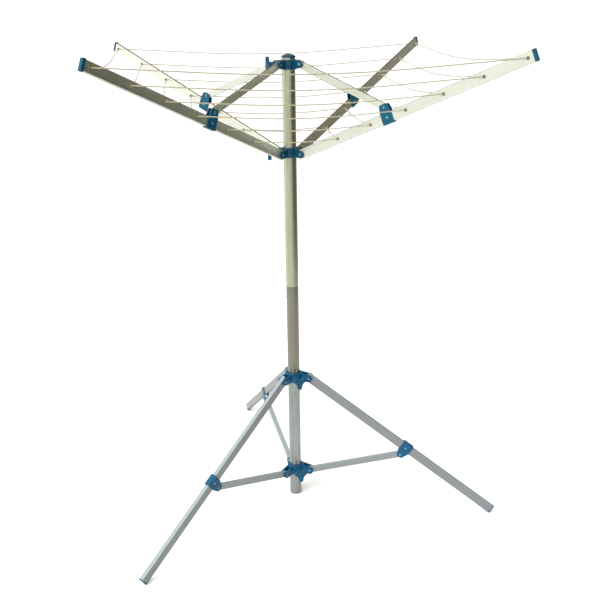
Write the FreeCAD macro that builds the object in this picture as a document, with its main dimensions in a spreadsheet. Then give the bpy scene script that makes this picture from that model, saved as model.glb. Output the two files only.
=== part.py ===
"""Free-standing rotary clothesline: a two-piece pole, a folding four-arm head with six rounds of
line, and a folding tripod.

Frame: origin on the ground at the pole's axis, +Z up, arm 1 along +X and arm 2 along +Y.
Millimetres throughout. Every size is a cell of the sheet named Sizes. A size that depends on
others is a formula in its cell, and the formulas below are written in the cells' names.
"""

import FreeCAD, Part
import math
import os
import re
import Sketcher

V = FreeCAD.Vector
doc = FreeCAD.newDocument("RotaryClothesline")
sheet = doc.addObject("Spreadsheet::Sheet", "Sizes")

SIZES = {
    # pole: two tubes of one diameter, joined end to end over an inner spigot
    "pole_radius": 20,
    "pole_wall": 1.2,
    "seam_level": 775,
    "seam_gap": 0.3,
    "pole_above_hub": 19,
    "spigot_down": 100,
    "spigot_up": 130,
    "spigot_wall": 1.5,
    "spigot_clearance": 0.2,
    "stop_level": "seam_level - 40",
    "stop_azimuth": 128,
    "stop_head_radius": 4,
    "stop_head_rise": 1.6,
    "cap_radius": "pole_radius + 1.5",
    "cap_rim": 4,
    "cap_dome": 7,
    "cap_plug": 14,
    # fits
    "slide_clearance": 0.3,
    "ear_clearance": 0.3,
    "pin_clearance": 0.05,
    # rivets and pins
    "pin_radius": 2.5,
    "rivet_head_radius": 4,
    "rivet_head_rise": 1.7,
    # hubs of the head, measured from the level of their pivots
    "hub_radius": "pole_radius + 6",
    "hub_edge": 1.6,
    "hub_pivot_radius": "hub_radius + 19",
    "ear_thickness": 4.6,
    "slot_depth_radius": "hub_radius + 1.2",
    "lower_hub_level": 1206,
    "lower_hub_below": 11.6,
    "lower_hub_above": 18.5,
    "lower_hub_round": 11.4,
    "upper_hub_level": 1471,
    "upper_hub_below": 15.2,
    "upper_hub_above": 13,
    "upper_hub_round": 10.4,
    # clamp knobs and their bosses
    "head_knob_azimuth": 135,
    "boss_radius": 9.5,
    "boss_reach": "hub_radius + 16",
    "knob_screw_radius": 4,
    "knob_stem_radius": 9,
    "knob_plate_at": "boss_reach + 16",
    "knob_plate_thickness": 11,
    "knob_lobe_reach": 24,
    "knob_lobe_radius": 8.5,
    "knob_waist": 12.4,
    "knob_edge": 2.6,
    "upper_hub_knob_turn": 180,
    "lower_hub_knob_turn": 0,
    # arms, measured from their pivots
    "arm_rise": 22.97,
    "arm_depth": 30,
    "arm_thickness": 10,
    "arm_wall": 1.2,
    "arm_corner": 2.6,
    "arm_inner_end": 8,
    "line_hole_first": 148.7,
    "line_hole_pitch": 122.7,
    "arm_tube_end": "line_hole_first + 5 * line_hole_pitch + 15",
    "arm_cap_length": 9,
    "arm_cap_lip": 0.8,
    "arm_cap_plug": 8,
    "eyelet_bore": 2.8,
    "eyelet_shank": 3.9,
    "eyelet_flange": 5.2,
    "eyelet_lip": 1.1,
    # arm brackets and struts
    "arm_bracket_at": "line_hole_first + 1.486 * line_hole_pitch",
    "arm_bracket_sheet": 2.5,
    "arm_bracket_foot": 36,
    "arm_bracket_crown": 26,
    "strut_depth": 20,
    "strut_pin_offset": "arm_depth / 2 + strut_depth / 2 + 5",
    "arm_bracket_top": "strut_pin_offset + 9",
    "strut_thickness": 8,
    "strut_wall": 1.2,
    "strut_overrun": 10,
    # tripod collars, measured from the level of their pivots
    "collar_radius": "pole_radius + 6.5",
    "collar_pivot_radius": "collar_radius + 26.5",
    "collar_ear_thickness": 5.5,
    "collar_slot_radius": "collar_radius + 4.5",
    "upper_collar_below": 12.5,
    "upper_collar_above": 19.5,
    "upper_collar_round": 12.4,
    "lower_collar_level": 94.6,
    "lower_collar_below": 12.8,
    "lower_collar_above": 22,
    "lower_collar_round": 12.6,
    "leg_azimuth": 54.94,
    # legs, measured from their pivots
    "leg_slope": 34.88,
    "leg_reach": 766,
    "leg_depth": 28,
    "leg_thickness": 15,
    "leg_wall": 1.3,
    "leg_corner": 2.5,
    "leg_top_end": 12,
    "foot_flange": 4,
    "foot_plug": 26,
    "foot_flat": 0.8,
    "leg_mark_at": 31,
    # leg brackets and braces
    "leg_bracket_at": "0.53 * leg_reach",
    "leg_bracket_sheet": 2.5,
    "leg_bracket_crown": 38,
    "leg_bracket_toe": 19,
    "brace_depth": 20,
    "brace_pin_offset": "leg_depth / 2 + brace_depth / 2 + 7",
    "brace_thickness": 12,
    "brace_wall": 1.2,
    "brace_overrun": 10,
    # line
    "line_radius": 1.5,
    "line_knee": 7.5,
    "line_end_gap": 0.1,
    "line_sag_share": 0.0165,
}
ARMS = 4
LEGS = 3
LINE_ROUNDS = 6

for row, (alias, size) in enumerate(SIZES.items(), start=1):
    sheet.set(f"A{row}", alias)
    sheet.set(f"B{row}", f"={size}")
    sheet.setAlias(f"B{row}", alias)
    doc.recompute()


def bound(formula):
    """The formula with each cell's name given in full, for setExpression."""
    return re.sub(r"\b(?!(?:sin|cos|tan|sqrt|atan2)\b)[a-z_]{3,}\b", r"Sizes.\g<0>", str(formula))


def value(formula):
    return float(sheet.evalExpression(bound(formula)))


# Distances that follow from the driving sizes.
UPPER_COLLAR_LEVEL = "(leg_reach * sin(leg_slope) + leg_depth / 2 * cos(leg_slope) - foot_flat)"
STRUT_PIN_OUT = "(arm_bracket_at * cos(arm_rise) - strut_pin_offset * sin(arm_rise))"
STRUT_PIN_UP = "(arm_bracket_at * sin(arm_rise) + strut_pin_offset * cos(arm_rise))"
STRUT_DROP = f"(upper_hub_level - lower_hub_level - {STRUT_PIN_UP})"
STRUT_LENGTH = f"sqrt({STRUT_PIN_OUT} ^ 2 + {STRUT_DROP} ^ 2)"
BRACE_PIN_OUT = "(leg_bracket_at * cos(leg_slope) - brace_pin_offset * sin(leg_slope))"
BRACE_PIN_DOWN = "(leg_bracket_at * sin(leg_slope) + brace_pin_offset * cos(leg_slope))"
BRACE_RISE = f"({UPPER_COLLAR_LEVEL} - {BRACE_PIN_DOWN} - lower_collar_level)"
BRACE_LENGTH = f"sqrt({BRACE_PIN_OUT} ^ 2 + {BRACE_RISE} ^ 2)"

# The knob's outline: three round lobes, joined by hollows tangent to them. The hollow's radius
# follows from the lobe and the waist, and the tangent point from the line between the centres.
LOBE_AT = "(knob_lobe_reach - knob_lobe_radius)"
HOLLOW = (f"(({LOBE_AT} ^ 2 + knob_waist ^ 2 - {LOBE_AT} * knob_waist - knob_lobe_radius ^ 2)"
          f" / (2 * knob_lobe_radius + {LOBE_AT} - 2 * knob_waist))")
HOLLOW_AT = f"(knob_waist + {HOLLOW})"
JOINT_SHARE = f"(knob_lobe_radius / (knob_lobe_radius + {HOLLOW}))"
JOINT_OUT = f"({LOBE_AT} + ({HOLLOW_AT} / 2 - {LOBE_AT}) * {JOINT_SHARE})"
JOINT_ASIDE = f"({HOLLOW_AT} * cos(30) * {JOINT_SHARE})"


def new_body(label):
    body = doc.addObject("PartDesign::Body", label)
    body.Label = label
    return body


def new_sketch(body, role, turn=0):
    """A sketch on one of the body's own planes, turned about the body's Z axis on YZ_Plane."""
    plane = next(f for f in body.Origin.OriginFeatures if f.Role == role)
    sketch = body.newObject("Sketcher::SketchObject", "Sketch")
    sketch.AttachmentSupport = [(plane, "")]
    sketch.MapMode = "FlatFace"
    if turn:
        sketch.AttachmentOffset = FreeCAD.Placement(V(0, 0, 0), FreeCAD.Rotation(V(0, 1, 0), turn))
    return sketch


def bind(sketch, index, formula):
    sketch.setExpression(f"Constraints[{index}]", bound(formula))


def fix_point(sketch, geometry, end, across, up):
    """Places a point of the sketch by its two distances from the sketch's origin."""
    for kind, formula in (("DistanceX", across), ("DistanceY", up)):
        rule = Sketcher.Constraint(kind, -1, 1, geometry, end, value(formula))
        bind(sketch, sketch.addConstraint(rule), formula)


def circle(sketch, across, up, radius):
    centre = V(value(across), value(up), 0)
    index = sketch.addGeometry(Part.Circle(centre, V(0, 0, 1), value(radius)))
    fix_point(sketch, index, 3, across, up)
    rule = Sketcher.Constraint("Radius", index, value(radius))
    bind(sketch, sketch.addConstraint(rule), radius)


def fix_centre(sketch, geometry, start, finish):
    """Places the centre of an arc whose ends are fixed, by the one distance that they leave free."""
    across = f"(({finish[0]}) - ({start[0]}))"
    up = f"(({finish[1]}) - ({start[1]}))"
    chord = f"sqrt({across} ^ 2 + {up} ^ 2)"
    rise = f"({start[2]})"
    offset = f"({rise} ^ 2 - {chord} ^ 2 / 4) / (2 * {rise}) / {chord}"
    if abs(value(up)) > abs(value(across)):
        kind = "DistanceX"
        formula = f"({start[0]}) + {across} / 2 + {up} * {offset}"
    else:
        kind = "DistanceY"
        formula = f"({start[1]}) + {up} / 2 - {across} * {offset}"
    rule = Sketcher.Constraint(kind, -1, 1, geometry, 3, value(formula))
    bind(sketch, sketch.addConstraint(rule), formula)


def outline(sketch, points):
    """A closed outline. A point is (across, up) or (across, up, rise), where rise makes the side
    that leaves the point an arc that stands that far to the right of its chord."""
    first = sketch.GeometryCount
    count = len(points)
    ends = []
    for i, point in enumerate(points):
        after = points[(i + 1) % count]
        start = V(value(point[0]), value(point[1]), 0)
        finish = V(value(after[0]), value(after[1]), 0)
        if len(point) == 2:
            sketch.addGeometry(Part.LineSegment(start, finish))
            ends.append((1, 2))
            continue
        along = finish - start
        aside = V(along.y, -along.x, 0).normalize()
        rise = value(point[2])
        middle = start + along * 0.5 + aside * rise
        if rise > 0:
            sketch.addGeometry(Part.Arc(start, middle, finish))
            ends.append((1, 2))
        else:
            sketch.addGeometry(Part.Arc(finish, middle, start))
            ends.append((2, 1))
    for i in range(count):
        j = (i + 1) % count
        rule = Sketcher.Constraint("Coincident", first + i, ends[i][1], first + j, ends[j][0])
        sketch.addConstraint(rule)
    for i, point in enumerate(points):
        fix_point(sketch, first + i, ends[i][0], point[0], point[1])
        if len(point) == 3:
            fix_centre(sketch, first + i, point, points[(i + 1) % count])


def rectangle(sketch, left, bottom, right, top):
    outline(sketch, [(left, bottom), (right, bottom), (right, top), (left, top)])


def add_pad(body, sketch, length, side="One side", back=None, reverse=False):
    pad = body.newObject("PartDesign::Pad", "Pad")
    pad.Profile = sketch
    pad.SideType = side
    pad.Reversed = reverse
    pad.setExpression("Length", bound(length))
    if back is not None:
        pad.setExpression("Length2", bound(back))
    doc.recompute()
    return pad


def add_pocket(body, sketch, length=None, side="Symmetric", reverse=False):
    """A pocket, through everything where it has no length. It has to take something away."""
    before = body.Shape.Volume
    pocket = body.newObject("PartDesign::Pocket", "Pocket")
    pocket.Profile = sketch
    pocket.SideType = side
    pocket.Reversed = reverse
    if length is None:
        pocket.Type = "ThroughAll"
    else:
        pocket.setExpression("Length", bound(length))
    doc.recompute()
    if body.Shape.Volume > before - 0.01:
        raise RuntimeError(f"a pocket of {body.Label} cuts nothing")
    return pocket


def add_turning(body, sketch, axis="V_Axis"):
    turning = body.newObject("PartDesign::Revolution", "Revolution")
    turning.Profile = sketch
    turning.ReferenceAxis = (sketch, [axis])
    turning.Angle = 360
    doc.recompute()
    return turning


def add_fillet(body, radius, chosen):
    """Rounds the edges of the body for which chosen(edge) holds."""
    base = body.Tip
    names = [f"Edge{i}" for i, edge in enumerate(base.Shape.Edges, start=1) if chosen(edge)]
    if not names:
        raise RuntimeError(f"a fillet of {body.Label} finds no edge")
    fillet = body.newObject("PartDesign::Fillet", "Fillet")
    fillet.Base = (base, names)
    fillet.setExpression("Radius", bound(radius))
    doc.recompute()
    if not fillet.isValid():
        raise RuntimeError(f"a fillet of {body.Label} fails")
    return fillet


def runs_along(direction):
    """A test for a straight edge that runs in this direction."""
    def test(edge):
        if len(edge.Vertexes) != 2 or edge.Curve.TypeId != "Part::GeomLine":
            return False
        return abs(edge.tangentAt(edge.FirstParameter).dot(direction)) > 0.999
    return test


def at_azimuth(degrees, radius=0.0, level=0.0, slope=0.0):
    """A placement that faces out at an azimuth, at a radius and level, sloping down outwards."""
    around = FreeCAD.Placement(V(0, 0, 0), FreeCAD.Rotation(V(0, 0, 1), degrees))
    out = FreeCAD.Placement(V(radius, 0, level), FreeCAD.Rotation(V(0, 1, 0), slope))
    return around * out


# ---------------------------------------------------------------- fasteners as groups of solids

def turned(points, arcs=()):
    """The solid that a closed outline of (radius, along) points makes about the Y axis. arcs maps
    the number of a side to the point half way along it."""
    edges = []
    for i, (radius, along) in enumerate(points):
        after = points[(i + 1) % len(points)]
        start = V(radius, along, 0)
        finish = V(after[0], after[1], 0)
        if i in arcs:
            edges.append(Part.Arc(start, V(arcs[i][0], arcs[i][1], 0), finish).toShape())
        else:
            edges.append(Part.LineSegment(start, finish).toShape())
    face = Part.Face(Part.Wire(edges))
    return face.revolve(V(0, 0, 0), V(0, 1, 0), 360)


def dome_middle(head, rise, along, way):
    """The point half way along a rivet head's outline, from its rim to its crown."""
    ball = (head ** 2 + rise ** 2) / (2 * rise)
    angle = math.asin(head / ball) / 2
    return ball * math.sin(angle), along + way * (rise - ball + ball * math.cos(angle))


def rivet(half_grip):
    """A rivet with two domed heads, its shank along Y, through a grip centred on the origin."""
    shank = value("pin_radius")
    head = value("rivet_head_radius")
    rise = value("rivet_head_rise")
    points = [
        (0, -half_grip - rise),
        (head, -half_grip),
        (shank, -half_grip),
        (shank, half_grip),
        (head, half_grip),
        (0, half_grip + rise),
    ]
    arcs = {
        0: dome_middle(head, rise, -half_grip, -1),
        4: dome_middle(head, rise, half_grip, 1),
    }
    return turned(points, arcs)


def stub_rivet(inner, outer, way):
    """A rivet with one domed head, its shank in a single ear from inner to outer along Y."""
    shank = value("pin_radius")
    head = value("rivet_head_radius")
    rise = value("rivet_head_rise")
    points = [
        (0, way * inner),
        (shank, way * inner),
        (shank, way * outer),
        (head, way * outer),
        (0, way * (outer + rise)),
    ]
    return turned(points, {3: dome_middle(head, rise, way * outer, way)})


def eyelet():
    """A flanged eyelet along Y through the thickness of an arm."""
    bore = value("eyelet_bore")
    shank = value("eyelet_shank")
    flange = value("eyelet_flange")
    half = value("arm_thickness / 2")
    lip = value("eyelet_lip")
    points = [
        (bore, -half - lip),
        (flange - lip / 2, -half - lip),
        (flange, -half),
        (shank, -half),
        (shank, half),
        (flange, half),
        (flange - lip / 2, half + lip),
        (bore, half + lip),
    ]
    return turned(points)


def group(label, solids, placement=None):
    """One node of several separate solids."""
    feature = doc.addObject("Part::Feature", label)
    feature.Label = label
    feature.Shape = Part.makeCompound(solids)
    if placement is not None:
        feature.Placement = placement
    return feature


def moved(shape, placement):
    copy = shape.copy()
    copy.Placement = placement
    return copy


# ---------------------------------------------------------------- pole

def make_tube(label, bottom, top, turn=0.0):
    body = new_body(label)
    ring = new_sketch(body, "XY_Plane")
    circle(ring, "0", "0", "pole_radius")
    circle(ring, "0", "0", "pole_radius - pole_wall")
    add_pad(body, ring, f"({top}) - ({bottom})")
    body.Placement = at_azimuth(turn, 0, value(bottom))
    return body


def make_lower_pole():
    body = make_tube("lower_pole", "0", "seam_level", value("stop_azimuth"))
    hole = new_sketch(body, "YZ_Plane")
    circle(hole, "0", "stop_level", "pin_radius")
    add_pocket(body, hole, "pole_radius + 5", side="One side", reverse=True)
    return body


def make_spigot():
    """The inner tube: a tight fit in the lower pole, a turning fit in the upper one."""
    body = new_body("pole_spigot")
    tight = "pole_radius - pole_wall"
    loose = f"({tight} - spigot_clearance)"
    inside = f"({loose} - spigot_wall)"
    foot = "seam_level - spigot_down"
    head = "seam_level + spigot_up"
    side = new_sketch(body, "XZ_Plane")
    outline(side, [
        (inside, foot), (tight, foot), (tight, "seam_level"),
        (loose, "seam_level"), (loose, head), (inside, head),
    ])
    add_turning(body, side)
    hole = new_sketch(body, "YZ_Plane")
    circle(hole, "0", "stop_level", "pin_radius")
    add_pocket(body, hole, "pole_radius + 5", side="One side", reverse=True)
    body.Placement = at_azimuth(value("stop_azimuth"))
    return body


def make_spigot_rivet():
    """The low domed rivet that holds the spigot in the lower pole: a shank through both walls
    and a head that fits the pole's round."""
    radius = value("pole_radius")
    inner = value("pole_radius - pole_wall - spigot_clearance - spigot_wall")
    head = value("stop_head_radius")
    rise = value("stop_head_rise")
    sunk = 0.45
    points = [(0, radius - sunk), (head, radius - sunk), (0, radius + rise)]
    dome = turned(points, {1: dome_middle(head, rise + sunk, radius - sunk, 1)})
    shank = Part.makeCylinder(value("pin_radius"), radius - inner, V(0, inner, 0), V(0, 1, 0))
    pole = Part.makeCylinder(radius, 4 * head, V(0, 0, -2 * head))
    solid = dome.cut(pole).fuse(shank.common(pole)).removeSplitter()
    turn = FreeCAD.Rotation(V(0, 0, 1), value("stop_azimuth") - 90)
    return group("spigot_rivet", solid.Solids,
                 FreeCAD.Placement(V(0, 0, value("stop_level")), turn))


def make_pole_cap():
    """The mushroom cap: a plug in the tube under a domed head."""
    body = new_body("pole_cap")
    side = new_sketch(body, "XZ_Plane")
    plug = "pole_radius - pole_wall"
    ball = "((cap_radius ^ 2 + cap_dome ^ 2) / (2 * cap_dome))"
    crown = f"({ball} - sqrt({ball} ^ 2 - (cap_radius ^ 2 + cap_dome ^ 2) / 4))"
    outline(side, [
        ("0", "-cap_plug"), (plug, "-cap_plug"), (plug, "0"),
        ("cap_radius", "0"), ("cap_radius", "cap_rim", crown),
        ("0", "cap_rim + cap_dome"),
    ])
    add_turning(body, side)
    body.Placement = at_azimuth(0, 0, value("upper_hub_level + pole_above_hub"))
    return body


# ---------------------------------------------------------------- hubs and collars

def make_hub(label, size):
    """A barrel on the pole with pairs of ears all round and a boss for the clamp screw.
    size gives formulas: bore, radius, below, above, pivot, round, ear, gap, slot, count, boss."""
    body = new_body(label)
    side = new_sketch(body, "XZ_Plane")
    outline(side, [
        (size["bore"], f"-({size['below']})"),
        (f"{size['radius']} - hub_edge", f"-({size['below']})"),
        (size["radius"], f"hub_edge - ({size['below']})"),
        (size["radius"], f"{size['above']} - hub_edge"),
        (f"{size['radius']} - hub_edge", size["above"]),
        (size["bore"], size["above"]),
    ])
    add_turning(body, side)
    boss = new_sketch(body, "YZ_Plane", size["boss_turn"])
    middle = f"({size['above']} - ({size['below']})) / 2"
    circle(boss, "0", middle, "boss_radius")
    add_pad(body, boss, "boss_reach")
    shaft = new_sketch(body, "YZ_Plane", size["boss_turn"])
    circle(shaft, "0", middle, "knob_screw_radius + pin_clearance")
    add_pocket(body, shaft, "boss_reach + 5", side="One side", reverse=True)
    bore = new_sketch(body, "XY_Plane")
    circle(bore, "0", "0", size["bore"])
    add_pocket(body, bore)
    ear = new_sketch(body, "XZ_Plane")
    root = f"({size['radius']} - 2.5)"
    outline(ear, [
        (root, f"hub_edge - ({size['below']})"),
        (size["pivot"], f"-({size['round']})", size["round"]),
        (size["pivot"], size["round"]),
        (root, f"{size['above']} - hub_edge"),
    ])
    ear_pad = add_pad(body, ear, f"{size['gap']} + 2 * {size['ear']}", side="Symmetric")
    slot = new_sketch(body, "XZ_Plane")
    rectangle(slot, size["slot"], f"-({size['below']}) - 5",
              f"{size['pivot']} + 40", f"{size['above']} + 5")
    slot_pocket = add_pocket(body, slot, size["gap"])
    hole = new_sketch(body, "XZ_Plane")
    circle(hole, size["pivot"], "0", "pin_radius")
    hole_pocket = add_pocket(body, hole, f"{size['gap']} + 2 * {size['ear']} + 4")
    pattern = body.newObject("PartDesign::PolarPattern", "PolarPattern")
    pattern.Originals = [ear_pad, slot_pocket, hole_pocket]
    pattern.Axis = (bore, ["N_Axis"])
    pattern.Angle = 360
    pattern.Occurrences = size["count"]
    body.Tip = pattern
    doc.recompute()
    return body


def make_knob(label, azimuth, level, turn=0.0):
    """A three-lobed clamp knob moulded on its screw, its axis along X from the pole's axis. turn
    is how far it is screwed round from one lobe down."""
    body = new_body(label)
    plate = new_sketch(body, "YZ_Plane")
    plate.setExpression("AttachmentOffset.Base.z", bound("knob_plate_at"))
    points = []
    for lobe in range(3):
        middle = -90 + 120 * lobe
        lobe_rise = f"(knob_lobe_reach - {JOINT_OUT})"
        hollow_rise = f"(knob_waist - {JOINT_OUT} / 2 - {JOINT_ASIDE} * cos(30))"
        for way, rise in ((-1, lobe_rise), (1, hollow_rise)):
            across = f"{JOINT_OUT} * cos({middle}) - ({way}) * {JOINT_ASIDE} * sin({middle})"
            up = f"{JOINT_OUT} * sin({middle}) + ({way}) * {JOINT_ASIDE} * cos({middle})"
            points.append((across, up, rise))
    outline(plate, points)
    add_pad(body, plate, "knob_plate_thickness")
    add_fillet(body, "knob_edge", lambda edge: edge.BoundBox.XLength < 1e-6)
    inner = "pole_radius + slide_clearance"
    stem = "boss_reach + ear_clearance"
    side = new_sketch(body, "XZ_Plane")
    outline(side, [
        (inner, "0"), (inner, "knob_screw_radius"), (stem, "knob_screw_radius"),
        (stem, "knob_stem_radius - 1"), (f"{stem} + 1", "knob_stem_radius"),
        ("knob_plate_at + 4", "knob_stem_radius"), ("knob_plate_at + 4", "0"),
    ])
    add_turning(body, side, "H_Axis")
    screwed = FreeCAD.Placement(V(0, 0, 0), FreeCAD.Rotation(V(1, 0, 0), turn))
    body.Placement = at_azimuth(azimuth, 0, level) * screwed
    return body


# ---------------------------------------------------------------- bars

def make_bar(label, size):
    """A rectangular tube along X with its depth along Z, open at both ends."""
    body = new_body(label)
    half_depth = f"{size['depth']} / 2"
    half_width = f"{size['width']} / 2"
    section = new_sketch(body, "YZ_Plane")
    rectangle(section, f"-{half_width}", f"-{half_depth}", half_width, half_depth)
    add_pad(body, section, size["front"], side="Two sides", back=size["back"])
    if "corner" in size:
        add_fillet(body, size["corner"], runs_along(V(1, 0, 0)))
    else:
        add_fillet(body, f"{half_depth} - 0.4", runs_along(V(0, 1, 0)))
    hollow = new_sketch(body, "YZ_Plane")
    rectangle(hollow, f"{size['wall']} - {half_width}", f"{size['wall']} - {half_depth}",
              f"{half_width} - {size['wall']}", f"{half_depth} - {size['wall']}")
    add_pocket(body, hollow)
    return body


def drill(body, holes):
    """Round holes through the bar along Y, each (along, across, radius)."""
    sketch = new_sketch(body, "XZ_Plane")
    for along, across, radius in holes:
        circle(sketch, along, across, radius)
    add_pocket(body, sketch)


def line_hole(number):
    return f"line_hole_first + {number} * line_hole_pitch"


def make_arm(number, place):
    body = make_bar(f"arm_{number}", {
        "depth": "arm_depth", "width": "arm_thickness", "wall": "arm_wall",
        "corner": "arm_corner", "front": "arm_tube_end", "back": "arm_inner_end",
    })
    holes = [("0", "0", "pin_radius + pin_clearance"), ("arm_bracket_at", "0", "pin_radius")]
    holes += [(line_hole(i), "0", "eyelet_shank") for i in range(LINE_ROUNDS)]
    drill(body, holes)
    body.Placement = place
    return body


def make_end_plug(label, size):
    """A moulded plug in the end of a tube: a flange that closes it and a core inside."""
    body = new_body(label)
    side = new_sketch(body, "XZ_Plane")
    outline(side, size["flange"])
    add_pad(body, side, size["width"], side="Symmetric")
    if "round" in size:
        limit = value(size["start"]) + 0.01
        add_fillet(body, size["round"], lambda edge: edge.BoundBox.XMin > limit)
    core = new_sketch(body, "XZ_Plane")
    rectangle(core, f"{size['start']} - {size['core']}", f"-({size['core_depth']}) / 2",
              f"{size['start']} + 1", f"({size['core_depth']}) / 2")
    add_pad(body, core, size["core_width"], side="Symmetric")
    return body


def make_arm_cap(number, place):
    half = "(arm_depth / 2 + arm_cap_lip)"
    body = make_end_plug(f"arm_{number}_cap", {
        "start": "arm_tube_end",
        "flange": [
            ("arm_tube_end", f"-{half}"), ("arm_tube_end + arm_cap_length", f"-{half}"),
            ("arm_tube_end + arm_cap_length", half), ("arm_tube_end", half),
        ],
        "width": "arm_thickness + 2 * arm_cap_lip",
        "round": "2.2",
        "core": "arm_cap_plug",
        "core_depth": "arm_depth - 2 * arm_wall",
        "core_width": "arm_thickness - 2 * arm_wall",
    })
    body.Placement = place
    return body


def make_saddle(label, size):
    """A folded bracket astride a bar: an outline along Y with a channel for the bar in it."""
    body = new_body(label)
    side = new_sketch(body, "XZ_Plane")
    outline(side, size["outline"])
    add_pad(body, side, f"{size['channel']} + 2 * {size['sheet']}", side="Symmetric")
    level = value(size["soft_from"])
    way = size["soft_way"]

    def soft(edge):
        far = way * (edge.CenterOfMass.z - level) > 0
        return far and runs_along(V(0, 1, 0))(edge)

    add_fillet(body, size["soft"], soft)
    channel = new_sketch(body, "XZ_Plane")
    rectangle(channel, *size["gap"])
    add_pocket(body, channel, size["channel"])
    drill(body, size["holes"])
    return body


def make_arm_bracket(number, place):
    base = "(0 - arm_depth / 2 - arm_bracket_sheet)"
    at = "arm_bracket_at"
    body = make_saddle(f"arm_{number}_bracket", {
        "channel": "arm_thickness", "sheet": "arm_bracket_sheet",
        "outline": [
            (f"{at} - arm_bracket_foot / 2", base), (f"{at} + arm_bracket_foot / 2", base),
            (f"{at} + arm_bracket_foot / 2", "arm_depth / 2"),
            (f"{at} + arm_bracket_crown / 2", "arm_bracket_top"),
            (f"{at} - arm_bracket_crown / 2", "arm_bracket_top"),
            (f"{at} - arm_bracket_foot / 2", "arm_depth / 2"),
        ],
        "soft": "6", "soft_from": "strut_pin_offset", "soft_way": 1,
        "gap": (f"{at} - arm_bracket_foot", "-arm_depth / 2",
                f"{at} + arm_bracket_foot", "arm_bracket_top + 5"),
        "holes": [(at, "0", "pin_radius"), (at, "strut_pin_offset", "pin_radius")],
    })
    body.Placement = place
    return body


def make_strut(number, place):
    body = make_bar(f"strut_{number}", {
        "depth": "strut_depth", "width": "strut_thickness", "wall": "strut_wall",
        "front": f"{STRUT_LENGTH} + strut_overrun", "back": "strut_overrun",
    })
    running = "pin_radius + pin_clearance"
    drill(body, [("0", "0", running), (STRUT_LENGTH, "0", running)])
    body.Placement = place
    return body


def make_leg(number, place):
    body = make_bar(f"leg_{number}", {
        "depth": "leg_depth", "width": "leg_thickness", "wall": "leg_wall",
        "corner": "leg_corner", "front": "leg_reach - foot_flange", "back": "leg_top_end",
    })
    holes = [("0", "0", "pin_radius + pin_clearance"), ("leg_bracket_at", "0", "pin_radius")]
    if number == 1:
        holes.append(("leg_mark_at", "0", "pin_radius"))
    drill(body, holes)
    body.Placement = place
    return body


def make_foot(number, place):
    """The foot plug, with its lowest corner cut flat to stand on the ground."""
    half = "(leg_depth / 2)"
    body = make_end_plug(f"leg_{number}_foot", {
        "start": "(leg_reach - foot_flange)",
        "flange": [
            ("leg_reach - foot_flange", f"-{half}"),
            ("leg_reach - foot_flat / sin(leg_slope)", f"-{half}"),
            ("leg_reach", f"foot_flat / cos(leg_slope) - {half}"),
            ("leg_reach", half),
            ("leg_reach - foot_flange", half),
        ],
        "width": "leg_thickness",
        "core": "foot_plug",
        "core_depth": "leg_depth - 2 * leg_wall",
        "core_width": "leg_thickness - 2 * leg_wall",
    })
    body.Placement = place
    return body


def make_leg_bracket(number, place):
    top = "(leg_depth / 2 + leg_bracket_sheet)"
    at = "leg_bracket_at"
    toe = "(0 - brace_pin_offset - leg_bracket_toe / 2)"
    body = make_saddle(f"leg_{number}_bracket", {
        "channel": "leg_thickness", "sheet": "leg_bracket_sheet",
        "outline": [
            (f"{at} - leg_bracket_toe / 2", toe), (f"{at} + leg_bracket_toe / 2", toe),
            (f"{at} + leg_bracket_crown / 2", "-leg_depth / 2"),
            (f"{at} + leg_bracket_crown / 2", top), (f"{at} - leg_bracket_crown / 2", top),
            (f"{at} - leg_bracket_crown / 2", "-leg_depth / 2"),
        ],
        "soft": "7", "soft_from": "-brace_pin_offset", "soft_way": -1,
        "gap": (f"{at} - leg_bracket_crown", f"{toe} - 5",
                f"{at} + leg_bracket_crown", "leg_depth / 2"),
        "holes": [(at, "0", "pin_radius"), (at, "-brace_pin_offset", "pin_radius")],
    })
    body.Placement = place
    return body


def make_brace(number, place):
    body = make_bar(f"brace_{number}", {
        "depth": "brace_depth", "width": "brace_thickness", "wall": "brace_wall",
        "front": f"{BRACE_LENGTH} + brace_overrun", "back": "brace_overrun",
    })
    running = "pin_radius + pin_clearance"
    drill(body, [("0", "0", running), (BRACE_LENGTH, "0", running)])
    body.Placement = place
    return body


# ---------------------------------------------------------------- line

def rounded_wire(points):
    """Straight runs joined by tangent arcs. An arc takes 0.45 of the shorter run beside it."""
    edges = []
    last = points[0]
    for before, corner, after in zip(points, points[1:], points[2:]):
        inward = (before - corner).normalize()
        outward = (after - corner).normalize()
        cut = 0.45 * min((before - corner).Length, (after - corner).Length)
        start = corner + inward * cut
        finish = corner + outward * cut
        turn = math.pi - inward.getAngle(outward)
        radius = cut / math.tan(turn / 2)
        bisector = (inward + outward).normalize()
        middle = corner + bisector * (radius / math.cos(turn / 2) - radius)
        edges.append(Part.LineSegment(last, start).toShape())
        edges.append(Part.Arc(start, middle, finish).toShape())
        last = finish
    edges.append(Part.LineSegment(last, points[-1]).toShape())
    return Part.Wire(edges)


def line_route(number):
    """The route of one round's span from arm 1 to arm 2: out of an eyelet, down in a shallow sag,
    and into the eyelet of the next arm."""
    along = value(line_hole(number))
    radius = value("hub_pivot_radius") + along * math.cos(math.radians(value("arm_rise")))
    level = value("lower_hub_level") + along * math.sin(math.radians(value("arm_rise")))
    knee = value("line_knee")
    gap = value("line_end_gap")
    sag = radius * math.sqrt(2) * value("line_sag_share")
    middle = V(radius / 2 + knee / 2, radius / 2 + knee / 2, level - 2 * sag)
    first = [V(radius, gap, level), V(radius, knee, level)]
    last = [V(knee, radius, level), V(gap, radius, level)]
    return first + [middle] + last


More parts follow.
